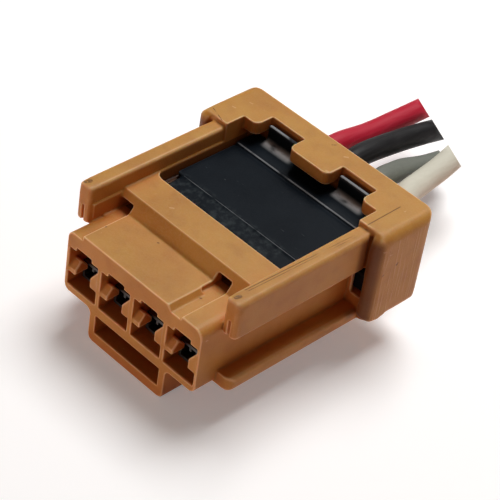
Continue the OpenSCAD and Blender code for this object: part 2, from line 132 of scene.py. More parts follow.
# Corners of the housing that are rounded more than the rest: middle and reach, the same on both sides
ROUND_CORNERS = (
    ((16.2, 8.2, 19.9), 2.4),
    ((16.8, 8.4, 6.3), 1.7),
    ((17.3, 11.8, 6.0), 1.4),
    ((17.1, 17.7, 5.9), 1.9),
    ((13.8, -14.8, 19.4), 1.9),
)

# Routes of the wires, close to those in the part's source: millimetres from the cavity's middle, the mating face and
# the cavity's roof
ROUTES = {
    "red": [(0, 23.3, -3.75), (0, 30, -3.7), (0, 37, -3.3), (-0.2, 43, -2.8), (-0.3, 48, -2.5),
            (-0.2, 54, -3.3), (-0.1, 60, -3.5), (0, 66.5, -3.6)],
    "black": [(0, 23.3, -3.75), (0, 30, -3.7), (-0.1, 37, -3), (-0.8, 42, -1.7), (-1.5, 47, -1.1),
              (-1.9, 55, -2.4), (-1.7, 61, -3.3), (-1.5, 64.5, -3.9)],
    "grey": [(0, 23.3, -3.75), (0, 30, -3.7), (-0.3, 37, -2.7), (-1.2, 41, -1.4), (-2, 45, -0.8),
             (-2.8, 49, -1.9), (-3.4, 52, -3), (-3.9, 57, -5), (-4, 61, -6), (-4.05, 62.6, -6.35)],
    "white": [(0, 23.3, -3.75), (0, 30, -3.7), (-0.3, 37, -2.6), (-2.1, 41.5, -1.7), (-4.1, 46, -1.3),
              (-5.5, 51, -2.3), (-6.3, 56, -2.5), (-7.1, 60.1, -2.5)],
}
WIRE_ORDER = ("red", "black", "grey", "white")
CAVITY_ROOF = 12.2 * MM
# All wires end in the same slanted cut, which faces this way
CUT_FACING = Vector((0.368, 0.731, 0.575))
# Distances from a wire's start between which it swells from the crimp to its full thickness
SQUEEZE_START = 5 * MM
SQUEEZE_END = 13 * MM
# Points at the end of a wire's line along which its strands are drawn
STRAND_POINTS = 5
# Turn of the strands along that stretch, in radians
STRAND_TWIST = 1.2
# Radius of the bundle of strands, in spacings of its strands
BUNDLE_RADIUS = 2.5
# Stretch before a wire's end that is kept free of points, so that only the end ring lies in the slanted cut
FREE_END = 1.8 * MM
# How near to a wire's end a vertex lies that belongs to its end ring: along the wire, and in all
RING_DEPTH = 0.05 * MM
RING_REACH = 3 * MM

# The photograph's camera, in the part's frame
CAMERA_PLACE = Vector((129.88, -152.18, 174.68)) * MM
CAMERA_RIGHT = Vector((0.6899, 0.7127, 0.1267))
CAMERA_UP = Vector((-0.5260, 0.3733, 0.7642))
CAMERA_BACK = Vector((0.4974, -0.5938, 0.6324))
SENSOR_MM = 36.0
FOCAL_PIXELS = 1977.8
PHOTO_PIXELS = 500
NEAREST_SEEN = 0.01
FARTHEST_SEEN = 20

# The stage, in metres and watts: floor, sky, and each lamp's place from the part's middle, sides, power and colour
FLOOR_HALF = 3.0
FLOOR_GAP = 0.02 * MM
FLOOR_GLOW = 0.2
SKY_TINT = "#FFDECC"
SKY_STRENGTH = 0.11
LAMPS = (
    ("key_light", Vector((-0.06, 0.2, 0.46)), (0.3, 0.3), 2.6, "#FFFFFF"),
    ("front_light", Vector((-0.08, -0.2, -0.003)), (0.2, 0.012), 0.12, "#FFDCCA"),
    ("side_light", Vector((0.5, 0.14, 0.12)), (0.3, 0.3), 0.06, "#FFDDBE"),
)


def linear(code):
    """Linear red, green and blue of an sRGB hex colour."""
    parts = [int(code[i:i + 2], 16) / 255 for i in (1, 3, 5)]
    return tuple(c / 12.92 if c <= 0.04045 else ((c + 0.055) / 1.055) ** 2.4 for c in parts)


class ConnectorSizes(bpy.types.PropertyGroup):
    """Sizes and counts of what the looks add to the solids, the sizes in metres."""

    edge_voxel: bpy.props.FloatProperty(
        name="Edge grain", description="Voxel size that sets how fine the rounded edges are",
        default=0.12 * MM, subtype="DISTANCE")
    edge_passes: bpy.props.IntProperty(
        name="Edge passes", description="Smoothing passes that round the moulded edges", default=6)
    corner_passes: bpy.props.IntProperty(
        name="Corner passes", description="Smoothing passes that round the worn corners", default=60)
    housing_faces: bpy.props.IntProperty(
        name="Housing faces", description="Triangles left on the housing", default=170000)
    retainer_faces: bpy.props.IntProperty(
        name="Retainer faces", description="Triangles left on the retainer", default=60000)
    red_od: bpy.props.FloatProperty(
        name="Red wire", description="Outer diameter of the red wire", default=3.2 * MM, subtype="DISTANCE")
    black_od: bpy.props.FloatProperty(
        name="Black wire", description="Outer diameter of the black wire", default=3.3 * MM, subtype="DISTANCE")
    grey_od: bpy.props.FloatProperty(
        name="Grey wire", description="Outer diameter of the grey wire", default=3.2 * MM, subtype="DISTANCE")
    white_od: bpy.props.FloatProperty(
        name="White wire", description="Outer diameter of the white wire", default=3.55 * MM, subtype="DISTANCE")
    crimp_share: bpy.props.FloatProperty(
        name="Crimp squeeze", description="Share of its diameter that a wire keeps inside the crimp", default=0.84)
    strand_gap: bpy.props.FloatProperty(
        name="Strand spacing", description="Distance between the copper strands", default=0.36 * MM,
        subtype="DISTANCE")
    strand_recess: bpy.props.FloatProperty(
        name="Strand recess", description="How far the strands end behind the cut insulation",
        default=0.1 * MM, subtype="DISTANCE")


class ConnectorColours(bpy.types.PropertyGroup):
    """Colours of the finishes."""

    tan: bpy.props.FloatVectorProperty(
        name="Housing", description="Tan of the housing", default=linear("#BC8940"), subtype="COLOR")
    tan_shade: bpy.props.FloatVectorProperty(
        name="Housing, deeper", description="Deeper tan that drifts through the housing",
        default=linear("#B27D38"), subtype="COLOR")
    black: bpy.props.FloatVectorProperty(
        name="Retainer", description="Black of the retainer", default=linear("#161C22"), subtype="COLOR")
    black_shade: bpy.props.FloatVectorProperty(
        name="Retainer, deeper", description="Deeper black that drifts through the retainer",
        default=linear("#11171D"), subtype="COLOR")
    tin: bpy.props.FloatVectorProperty(
        name="Receptacles", description="Tin plating of the receptacles", default=linear("#6C6C6A"),
        subtype="COLOR")
    copper: bpy.props.FloatVectorProperty(
        name="Copper", description="Bare copper strands", default=linear("#C98A5E"), subtype="COLOR")
    red: bpy.props.FloatVectorProperty(
        name="Red wire", description="Insulation of the red wire", default=linear("#B81E35"), subtype="COLOR")
    black_wire: bpy.props.FloatVectorProperty(
        name="Black wire", description="Insulation of the black wire", default=linear("#1A1A1C"),
        subtype="COLOR")
    grey: bpy.props.FloatVectorProperty(
        name="Grey wire", description="Insulation of the grey wire", default=linear("#70746C"), subtype="COLOR")
    white: bpy.props.FloatVectorProperty(
        name="White wire", description="Insulation of the white wire", default=linear("#CFCDBD"),
        subtype="COLOR")
    floor: bpy.props.FloatVectorProperty(
        name="Floor", description="Pale floor under the part", default=linear("#F6F6F6"), subtype="COLOR")
    floor_bounce: bpy.props.FloatVectorProperty(
        name="Floor bounce", description="Tint of the light that the floor throws back at the part",
        default=linear("#F6D2C6"), subtype="COLOR")


def add(tree, kind, settings=None, inputs=None, out=0):
    """Adds one node with its settings; an input is a value, a socket or a list of sockets. Gives one output."""
    node = tree.nodes.new(kind)
    for name, value in (settings or {}).items():
        setattr(node, name, value)
    for name, value in (inputs or {}).items():
        for one in value if isinstance(value, list) else [value]:
            if isinstance(one, bpy.types.NodeSocket):
                tree.links.new(one, node.inputs[name])
            else:
                node.inputs[name].default_value = one
    return node.outputs if out is None else node.outputs[out] if node.outputs else None


def new_material(name):
    """A new node material: its tree, its shader and its Object coordinates."""
    material = bpy.data.materials.new(name)
    material.use_nodes = True
    tree = material.node_tree
    place = add(tree, "ShaderNodeTexCoord", out="Object")
    return material, tree, tree.nodes["Principled BSDF"], place


def speckle(tree, place, size, low, high, stretch=(1, 1, 1)):
    """Mask of irregular flecks, that many millimetres across and stretched along the axes."""
    moved = add(tree, "ShaderNodeMapping", {"vector_type": "TEXTURE"}, {"Vector": place, "Scale": stretch})
    cloud = add(tree, "ShaderNodeTexNoise", None, {"Vector": moved, "Scale": 1 / (size * MM), "Detail": 3.0})
    return add(tree, "ShaderNodeMapRange", {"interpolation_type": "SMOOTHSTEP"}, {
        "Value": cloud, "From Min": low, "From Max": high})


def patch(tree, place, low, high, soft, flecks):
    """Mask of the box between two corners in millimetres, with soft sides, broken up by flecks."""
    low, high = Vector(low) * MM, Vector(high) * MM
    away = add(tree, "ShaderNodeVectorMath", {"operation": "SUBTRACT"}, {0: place, 1: (low + high) / 2})
    away = add(tree, "ShaderNodeVectorMath", {"operation": "ABSOLUTE"}, {0: away})
    mask = flecks
    for axis, half in zip(add(tree, "ShaderNodeSeparateXYZ", None, {0: away}, None), (high - low) / 2):
        side = add(tree, "ShaderNodeMapRange", {"interpolation_type": "SMOOTHSTEP"}, {
            "Value": axis, "From Min": half + soft * MM, "From Max": half - soft * MM})
        mask = add(tree, "ShaderNodeMath", {"operation": "MULTIPLY"}, {0: mask, 1: side})
    return mask


def streak(tree, place, start, end, width):
    """Mask of a straight mark from one point to another, that many millimetres wide."""
    start, end = Vector(start) * MM, Vector(end) * MM
    run = end - start
    away = add(tree, "ShaderNodeVectorMath", {"operation": "SUBTRACT"}, {0: place, 1: start})
    along = add(tree, "ShaderNodeVectorMath", {"operation": "DOT_PRODUCT"}, {
        0: away, 1: run / run.length_squared}, "Value")
    along = add(tree, "ShaderNodeClamp", None, {"Value": along})
    nearest = add(tree, "ShaderNodeVectorMath", {"operation": "SCALE"}, {0: run, "Scale": along})
    far = add(tree, "ShaderNodeVectorMath", {"operation": "DISTANCE"}, {0: away, 1: nearest}, "Value")
    return add(tree, "ShaderNodeMapRange", {"interpolation_type": "SMOOTHSTEP"}, {
        "Value": far, "From Min": 0.65 * width * MM, "From Max": 0.35 * width * MM})


def all_streaks(tree, place, marks):
    """One mask of several straight marks, each given as start, end and width."""
    mask = streak(tree, place, *marks[0])
    for mark in marks[1:]:
        mask = add(tree, "ShaderNodeMath", {"operation": "MAXIMUM"}, {0: mask, 1: streak(tree, place, *mark)})
    return mask


def laid_over(tree, tone, mask, colour, amount):
    """Lays a colour over a tone by a mask, at most by that amount."""
    share = add(tree, "ShaderNodeMath", {"operation": "MULTIPLY"}, {0: mask, 1: amount})
    return add(tree, "ShaderNodeMix", {"data_type": "RGBA"}, {0: share, 6: tone, 7: (*colour, 1)}, 2)


def edge_masks(tree):
    """Masks of the outer edges, pale from rubbing and from a painted highlight, and of the inner corners, darkened
    as painted shade, from the mesh's edge attribute.
    """
    bend = add(tree, "ShaderNodeAttribute", {"attribute_name": EDGE}, None, "Fac")
    rubbed_edge_highlight = add(tree, "ShaderNodeMapRange", None, {"Value": bend, "From Min": 0.02, "From Max": 0.1})
    corner_shade = add(tree, "ShaderNodeMapRange", None, {"Value": bend, "From Min": -0.04, "From Max": -0.2})
    return rubbed_edge_highlight, corner_shade


def tan_moulding(colours):
    """PBT, injection moulded: satin and even, pale on its edges from rubbing and a painted highlight, with painted
    shade in corners and recesses, tool seams and handling marks.
    """
    material, tree, shader, place = new_material("pbt_tan_moulded")
    tone = add(tree, "ShaderNodeMix", {"data_type": "RGBA"}, {
        0: speckle(tree, place, 9, 0.35, 0.7), 6: (*colours.tan, 1), 7: (*colours.tan_shade, 1)}, 2)
    tone = laid_over(tree, tone, speckle(tree, place, 2.2, 0.45, 0.75), linear("#985C28"), 0.22)
    grain = speckle(tree, place, 0.25, 0.3, 0.8)
    tone = laid_over(tree, tone, grain, linear("#E8D2B0"), 0.06)
    # painted bounce light: recesses are tinted redder in the base colour, standing in for light that has bounced off
    # the tan walls around them
    sky = add(tree, "ShaderNodeAmbientOcclusion", {"samples": 8}, {"Distance": 6 * MM}, "AO")
    recess = add(tree, "ShaderNodeMapRange", None, {"Value": sky, "From Min": 0.95, "From Max": 0.35})
    tone = laid_over(tree, tone, recess, linear("#C4682C"), 0.65)
    # outer edges lightened as a painted highlight mixed with rubbing; inner corners darkened as painted shade
    rubbed_edge_highlight, corner_shade = edge_masks(tree)
    tone = laid_over(tree, tone, rubbed_edge_highlight, linear("#F0CFA2"), 0.6)
    tone = laid_over(tree, tone, corner_shade, linear("#5C3013"), 0.45)
    # painted shade on the inner walls and the ledge of the window and in the key pockets
    shade_flecks = speckle(tree, place, 3, 0.1, 0.3)
    for box in (WINDOW_WALLS, KEY_POCKETS, WINDOW_LEDGE):
        tone = laid_over(tree, tone, patch(tree, place, *box, 0.1, shade_flecks), linear("#2C150A"), 0.75)
    # painted shade in dark red-brown on the fronts of the ears, beside the grooves
    for box in EAR_FRONTS:
        tone = laid_over(tree, tone, patch(tree, place, *box, 0.6, shade_flecks), linear("#52200F"), 0.72)
    # drag lines of the tool down the right face of the rear block
    drawn = speckle(tree, place, 0.4, 0.5, 0.68, (1, 1, 14))
    drag = patch(tree, place, *BLOCK_SIDE, 0.1, drawn)
    tone = laid_over(tree, tone, drag, linear("#D2A778"), 0.2)
    scuffs = speckle(tree, place, 0.6, 0.71, 0.79, (1, 2, 1))
    tone = laid_over(tree, tone, scuffs, linear("#E3C194"), 0.35)
    knocks = all_streaks(tree, place, LIGHT_MARKS)
    tone = laid_over(tree, tone, knocks, linear("#E6C79C"), 0.3)
    broken = speckle(tree, place, 0.5, 0.36, 0.56, (1, 12, 1))
    seams = add(tree, "ShaderNodeMath", {"operation": "MULTIPLY"}, {
        0: all_streaks(tree, place, SEAMS), 1: broken})
    tone = laid_over(tree, tone, seams, linear("#5E3A1C"), 0.7)
    pits = add(tree, "ShaderNodeMath", {"operation": "MULTIPLY"}, {
        0: all_streaks(tree, place, DARK_MARKS), 1: speckle(tree, place, 0.3, 0.3, 0.5)})
    tone = laid_over(tree, tone, pits, linear("#4A2A18"), 0.65)
    tree.links.new(tone, shader.inputs["Base Color"])
    rough = add(tree, "ShaderNodeMapRange", None, {"Value": grain, "To Min": 0.42, "To Max": 0.56})
    tree.links.new(rough, shader.inputs["Roughness"])
    shader.inputs["Specular IOR Level"].default_value = 0.25
    shader.inputs["Subsurface Weight"].default_value = 0.5
    shader.inputs["Subsurface Radius"].default_value = (1.0, 0.4, 0.15)
    shader.inputs["Subsurface Scale"].default_value = 0.8 * MM
    sunk = add(tree, "ShaderNodeMath", {"operation": "MAXIMUM"}, {0: seams, 1: pits})
    height = add(tree, "ShaderNodeMath", {"operation": "MULTIPLY_ADD"}, {0: grain, 1: 0.3, 2: drag})
    height = add(tree, "ShaderNodeMath", {"operation": "SUBTRACT"}, {0: height, 1: sunk})
    normal = add(tree, "ShaderNodeBump", None, {"Height": height, "Distance": 0.03 * MM, "Strength": 1.0})
    tree.links.new(normal, shader.inputs["Normal"])
    return material


def black_moulding(colours):
    """PBT, black, moulded: smooth and dark, pale grey on its edges and where thumbs push it, partly from rubbing and
    partly as a painted highlight.
    """
    material, tree, shader, place = new_material("pbt_black_moulded")
    tone = add(tree, "ShaderNodeMix", {"data_type": "RGBA"}, {
        0: speckle(tree, place, 6, 0.35, 0.7), 6: (*colours.black, 1), 7: (*colours.black_shade, 1)}, 2)
    scratches = speckle(tree, place, 0.4, 0.7, 0.78, (4, 1, 1))
    tone = laid_over(tree, tone, scratches, linear("#565C60"), 0.35)
    # edges lightened to grey as a painted highlight mixed with rubbing
    rubbed_edge_highlight, _ = edge_masks(tree)
    tone = laid_over(tree, tone, rubbed_edge_highlight, linear("#5A5F63"), 0.35)
    # dusty blotches along the front edge of the panel
    dust = speckle(tree, place, 0.9, 0.42, 0.7)
    tone = laid_over(tree, tone, patch(tree, place, *PANEL_FRONT, 0.4, dust), linear("#4C5456"), 0.28)
    # pale scuffs and a painted highlight on the steps at the foot of the thumb lugs
    cloud = speckle(tree, place, 1.4, 0.2, 0.5, (2, 1, 1))
    for box in THUMB_STEPS:
        tone = laid_over(tree, tone, patch(tree, place, *box, 0.45, cloud), linear("#E4E6E8"), 0.9)
    # pale lines along the retainer's edges and lug tops, partly from rubbing and partly a painted highlight
    worn = speckle(tree, place, 1.6, 0.3, 0.5, (2, 1, 1))
    lines = all_streaks(tree, place, RUBBED_AND_HIGHLIGHT_LINES)
    lines = add(tree, "ShaderNodeMath", {"operation": "MULTIPLY"}, {0: lines, 1: worn})
    tone = laid_over(tree, tone, lines, linear("#A2A6A9"), 0.7)
    tree.links.new(tone, shader.inputs["Base Color"])
    grain = speckle(tree, place, 0.3, 0.3, 0.8)
    rough = add(tree, "ShaderNodeMapRange", None, {"Value": grain, "To Min": 0.3, "To Max": 0.4})
    tree.links.new(rough, shader.inputs["Roughness"])
    shader.inputs["Specular IOR Level"].default_value = 0.05
    height = add(tree, "ShaderNodeMath", {"operation": "MULTIPLY_ADD"}, {0: grain, 1: 0.4, 2: scratches})
    normal = add(tree, "ShaderNodeBump", None, {"Height": height, "Distance": 0.015 * MM, "Strength": 1.0})
    tree.links.new(normal, shader.inputs["Normal"])
    return material


def tin_plate(colours):
    """Tin plated brass sheet: soft grey shine with rolling lines and a little tarnish."""
    material, tree, shader, place = new_material("tin_plated_brass")
    tarnish = speckle(tree, place, 1.2, 0.4, 0.75)
    tone = laid_over(tree, (*colours.tin, 1), tarnish, linear("#4E4B47"), 0.5)
    tree.links.new(tone, shader.inputs["Base Color"])
    lines = speckle(tree, place, 0.12, 0.2, 0.8, (1, 20, 1))
    rough = add(tree, "ShaderNodeMapRange", None, {"Value": lines, "To Min": 0.38, "To Max": 0.55})
    tree.links.new(rough, shader.inputs["Roughness"])
    shader.inputs["Metallic"].default_value = 1.0
    normal = add(tree, "ShaderNodeBump", None, {"Height": lines, "Distance": 0.004 * MM, "Strength": 1.0})
    tree.links.new(normal, shader.inputs["Normal"])
    return material


def bare_copper(colours):
    """Copper, drawn: bright strands where they are cut, browned between."""
    material, tree, shader, place = new_material("copper_drawn")
    tone = laid_over(tree, (*colours.copper, 1), speckle(tree, place, 0.5, 0.35, 0.7), linear("#8A5436"), 0.6)
    tree.links.new(tone, shader.inputs["Base Color"])
    shader.inputs["Metallic"].default_value = 1.0
    shader.inputs["Roughness"].default_value = 0.35
    return material


def pvc_insulation(name, colour, pale):
    """PVC, extruded: smooth with a broad soft shine, drawn lengthways, lightly scuffed and dusty."""
    material, tree, shader, place = new_material("pvc_insulation_" + name)
    drawn = speckle(tree, place, 0.5, 0.3, 0.75, (1, 8, 1))
    tone = laid_over(tree, (*colour, 1), drawn, pale, 0.18)
    tone = laid_over(tree, tone, speckle(tree, place, 0.35, 0.68, 0.76), pale, 0.3)
    tree.links.new(tone, shader.inputs["Base Color"])
    rough = add(tree, "ShaderNodeMapRange", None, {"Value": drawn, "To Min": 0.46, "To Max": 0.6})
    tree.links.new(rough, shader.inputs["Roughness"])
    shader.inputs["Specular IOR Level"].default_value = 0.2
    normal = add(tree, "ShaderNodeBump", None, {"Height": drawn, "Distance": 0.02 * MM, "Strength": 1.0})
    tree.links.new(normal, shader.inputs["Normal"])
    return material


def pale_floor(colours):
    """Paper sweep, matt white: white to the camera, yet it keeps the part's shadow."""
    material, tree, shader, _ = new_material("paper_white_matt")
    shader.inputs["Roughness"].default_value = 0.9
    shader.inputs["Specular IOR Level"].default_value = 0.0
    rays = add(tree, "ShaderNodeLightPath", out=None)
    seen = rays["Is Camera Ray"]
    for kind in ("Is Glossy Ray", "Is Transmission Ray"):
        seen = add(tree, "ShaderNodeMath", {"operation": "MAXIMUM"}, {0: seen, 1: rays[kind]})
    tone = add(tree, "ShaderNodeMix", {"data_type": "RGBA"}, {
        0: seen, 6: (*colours.floor_bounce, 1), 7: (*colours.floor, 1)}, 2)
    tree.links.new(tone, shader.inputs["Base Color"])
    glow = add(tree, "ShaderNodeMath", {"operation": "MULTIPLY"}, {0: seen, 1: FLOOR_GLOW})
    shader.inputs["Emission Color"].default_value = (1, 1, 1, 1)
    tree.links.new(glow, shader.inputs["Emission Strength"])
    return material


def plain_mesh(carrier, name):
    """The carrier's evaluated mesh as a plain object of that name; the carrier is removed."""
    evaluated = carrier.evaluated_get(bpy.context.evaluated_depsgraph_get())
    mesh = bpy.data.meshes.new_from_object(evaluated)
    bpy.data.objects.remove(carrier)
    mesh.name = name
    piece = bpy.data.objects.new(name, mesh)
    bpy.context.scene.collection.objects.link(piece)
    return piece


def mark_edges(piece):
    """Writes how far the surface bends at each vertex: above 0 on outer edges, below 0 in inner corners."""
    mesh = piece.data
    count = len(mesh.vertices)
    spots = np.empty(count * 3)
    mesh.vertices.foreach_get("co", spots)
    normals = np.empty(count * 3)
    mesh.vertex_normals.foreach_get("vector", normals)
    ends = np.empty(len(mesh.edges) * 2, dtype=np.int32)
    mesh.edges.foreach_get("vertices", ends)
    spots, normals = spots.reshape(-1, 3), normals.reshape(-1, 3)
    first, second = ends.reshape(-1, 2).T
    way = spots[second] - spots[first]
    way /= np.maximum(np.linalg.norm(way, axis=1), 1e-9)[:, None]
    degree = np.bincount(ends, minlength=count).clip(1)
    bend = np.bincount(second, (way * normals[second]).sum(1), count)
    bend -= np.bincount(first, (way * normals[first]).sum(1), count)
    bend /= degree
    for _ in range(EDGE_SPREAD):
        around = np.bincount(first, bend[second], count) + np.bincount(second, bend[first], count)
        bend = 0.5 * bend + 0.5 * around / degree
    mesh.attributes.new(EDGE, "FLOAT", "POINT").data.foreach_set("value", bend.astype(np.float32))


def round_corners(piece, corners, passes):
    """Smooths a piece in millimetres near the given corners and near their mirror images."""
    spots = np.empty(len(piece.data.vertices) * 3)
    piece.data.vertices.foreach_get("co", spots)
    spots = np.abs(spots.reshape(-1, 3) * (1, 0, 0)) + spots.reshape(-1, 3) * (0, 1, 1)
    group = piece.vertex_groups.new(name="round")
    for middle, reach in corners:
        share = 1 - np.linalg.norm(spots - middle, axis=1) / reach
        for index in np.flatnonzero(share > 0):
            group.add([int(index)], min(1.0, CORNER_FADE * share[index]), "REPLACE")
    smooth = piece.modifiers.new("round", "SMOOTH")
    smooth.factor = SMOOTHING
    smooth.iterations = passes
    smooth.vertex_group = group.name


def moulded(node, name, sizes, faces, corners=()):
    """A copy of a solid with softly rounded edges, as a moulding has them."""
    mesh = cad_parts[node].data.copy()
    mesh.materials.clear()
    mesh.transform(Matrix.Scale(1 / MM, 4))
    work = bmesh.new()
    work.from_mesh(mesh)
    bmesh.ops.remove_doubles(work, verts=work.verts, dist=WELD)
    work.to_mesh(mesh)
    work.free()
    piece = bpy.data.objects.new(name + "_voxels", mesh)
    bpy.context.scene.collection.objects.link(piece)
    voxels = piece.modifiers.new("voxels", "REMESH")
    voxels.mode = "VOXEL"
    voxels.voxel_size = sizes.edge_voxel / MM
    soften = piece.modifiers.new("soften", "SMOOTH")
    soften.factor = SMOOTHING
    soften.iterations = sizes.edge_passes
    piece = plain_mesh(piece, name + "_soft")
    round_corners(piece, corners, sizes.corner_passes)
    piece = plain_mesh(piece, name + "_full")
    mark_edges(piece)
    thin = piece.modifiers.new("thin", "DECIMATE")
    thin.ratio = min(1.0, faces / (2 * len(piece.data.polygons)))
    flats = piece.modifiers.new("flats", "WEIGHTED_NORMAL")
    flats.weight = FLAT_WEIGHT
    piece.data.shade_smooth()
    piece = plain_mesh(piece, name)
    piece.data.transform(Matrix.Scale(MM, 4))
    return piece


def smooth_route(points, steps=5):
    """Points along the smooth curve through a route's points."""
    last = len(points) - 1
    line = []
    for i in range(last):
        a, b, c, d = (points[max(i - 1, 0)], points[i], points[i + 1], points[min(i + 2, last)])
        for k in range(steps):
            u = k / steps
            bow = (2 * a - 5 * b + 4 * c - d) + u * (3 * b - 3 * c + d - a)
            line.append(b + 0.5 * u * ((c - a) + u * bow))
    return [p for p in line if (p - points[-1]).length > FREE_END] + [points[-1]]


def path_object(name, line):
    """A mesh of one open run of edges along a line of points."""
    mesh = bpy.data.meshes.new(name)
    mesh.from_pydata([tuple(p) for p in line], [(i, i + 1) for i in range(len(line) - 1)], [])
    carrier = bpy.data.objects.new(name, mesh)
    bpy.context.scene.collection.objects.link(carrier)
    return carrier


def new_group(name, sizes):
    """A geometry node group with a geometry in and out, a material and named sizes; also its inputs."""
    tree = bpy.data.node_groups.new(name, "GeometryNodeTree")
    tree.interface.new_socket("Geometry", in_out="INPUT", socket_type="NodeSocketGeometry")
    tree.interface.new_socket("Material", in_out="INPUT", socket_type="NodeSocketMaterial")
    for size in sizes:
        tree.interface.new_socket(size, in_out="INPUT", socket_type="NodeSocketFloat")
    tree.interface.new_socket("Geometry", in_out="OUTPUT", socket_type="NodeSocketGeometry")
    return tree, add(tree, "NodeGroupInput", out=None)


def close_group(tree, geometry, material):
    """Ends a geometry node group: real geometry, smooth shading and its material."""
    real = add(tree, "GeometryNodeRealizeInstances", None, {"Geometry": geometry})
    smooth = add(tree, "GeometryNodeSetShadeSmooth", None, {"Geometry": real})
    done = add(tree, "GeometryNodeSetMaterial", None, {"Geometry": smooth, "Material": material})
    add(tree, "NodeGroupOutput", None, {"Geometry": done})


def insulation_group():
    """Sweeps a round tube along a path, squeezed at its start by the crimp."""
    tree, given = new_group("wire_insulation", ("Radius", "Squeeze"))
    line = add(tree, "GeometryNodeMeshToCurve", None, {"Mesh": given["Geometry"]})
    run = add(tree, "GeometryNodeSplineParameter", out="Length")
    share = add(tree, "ShaderNodeMapRange", {"interpolation_type": "SMOOTHSTEP"}, {
        "Value": run, "From Min": SQUEEZE_START, "From Max": SQUEEZE_END,
        "To Min": given["Squeeze"], "To Max": 1.0})
    line = add(tree, "GeometryNodeSetCurveRadius", None, {"Curve": line, "Radius": share})
    ring = add(tree, "GeometryNodeCurvePrimitiveCircle", None, {"Resolution": 32, "Radius": given["Radius"]})
    tube = add(tree, "GeometryNodeCurveToMesh", None, {"Curve": line, "Profile Curve": ring})
    close_group(tree, tube, given["Material"])
    return tree


def strands_group():
    """Sweeps a twisted bundle of strands, in two rings about a middle one, along a path."""
    tree, given = new_group("copper_strands", ("Spacing", "Twist"))
    outer = add(tree, "ShaderNodeMath", {"operation": "MULTIPLY"}, {0: given["Spacing"], 1: 2.0})
    thick = add(tree, "ShaderNodeMath", {"operation": "MULTIPLY"}, {0: given["Spacing"], 1: 0.49})
    places = add(tree, "GeometryNodeJoinGeometry", None, {"Geometry": [
        add(tree, "GeometryNodeMeshCircle", None, {"Vertices": 6, "Radius": given["Spacing"]}),
        add(tree, "GeometryNodeMeshCircle", None, {"Vertices": 12, "Radius": outer}),
        add(tree, "GeometryNodeMeshLine", None, {"Count": 1})]})
    strand = add(tree, "GeometryNodeCurvePrimitiveCircle", None, {"Resolution": 10, "Radius": thick})
    bundle = add(tree, "GeometryNodeInstanceOnPoints", None, {"Points": places, "Instance": strand})
    profile = add(tree, "GeometryNodeRealizeInstances", None, {"Geometry": bundle})
    line = add(tree, "GeometryNodeMeshToCurve", None, {"Mesh": given["Geometry"]})
    run = add(tree, "GeometryNodeSplineParameter")
    turn = add(tree, "ShaderNodeMath", {"operation": "MULTIPLY"}, {0: run, 1: given["Twist"]})
    turned = add(tree, "GeometryNodeSetCurveTilt", None, {"Curve": line, "Tilt": turn})
    swept = add(tree, "GeometryNodeCurveToMesh", None, {
        "Curve": turned, "Profile Curve": profile, "Fill Caps": True})
    close_group(tree, swept, given["Material"])
    return tree


def run_group(carrier, tree, values):
    """Puts a node group on a carrier and sets its inputs by their identifiers."""
    modifier = carrier.modifiers.new(tree.name, "NODES")
    modifier.node_group = tree
    for item in tree.interface.items_tree:
        if item.in_out == "INPUT" and item.name in values:
            modifier[item.identifier] = values[item.name]


class CONNECTOR_OT_housing(bpy.types.Operator):
    """Dresses the housing as a rounded tan moulding"""

    bl_idname = "connector.housing"
    bl_label = "Housing"

    def execute(self, context):
        sizes = context.scene.connector_sizes
        piece = moulded("housing", "housing_moulding", sizes, sizes.housing_faces, ROUND_CORNERS)
        piece.data.materials.append(tan_moulding(context.scene.connector_colours))
        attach(piece, BODY)
        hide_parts("housing")
        return {"FINISHED"}


class CONNECTOR_OT_retainer(bpy.types.Operator):
    """Dresses the terminal retainer as a rounded black moulding"""

    bl_idname = "connector.retainer"
    bl_label = "Retainer"

    def execute(self, context):
        sizes = context.scene.connector_sizes
        piece = moulded("retainer", "retainer_moulding", sizes, sizes.retainer_faces)
        piece.data.materials.append(black_moulding(context.scene.connector_colours))
        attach(piece, RETAINER_BODY)
        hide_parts("retainer")
        return {"FINISHED"}


class CONNECTOR_OT_terminals(bpy.types.Operator):
    """Finishes the receptacles in tin and the stripped conductors in copper"""

    bl_idname = "connector.terminals"
    bl_label = "Terminals"

    def execute(self, context):
        colours = context.scene.connector_colours
        tin = tin_plate(colours)
        copper = bare_copper(colours)
        for name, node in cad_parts.items():
            if name.startswith("terminal"):
                node.data.materials.clear()
                node.data.materials.append(tin)
            if name.startswith("conductor"):
                node.data.materials.clear()
                node.data.materials.append(copper)
        return {"FINISHED"}


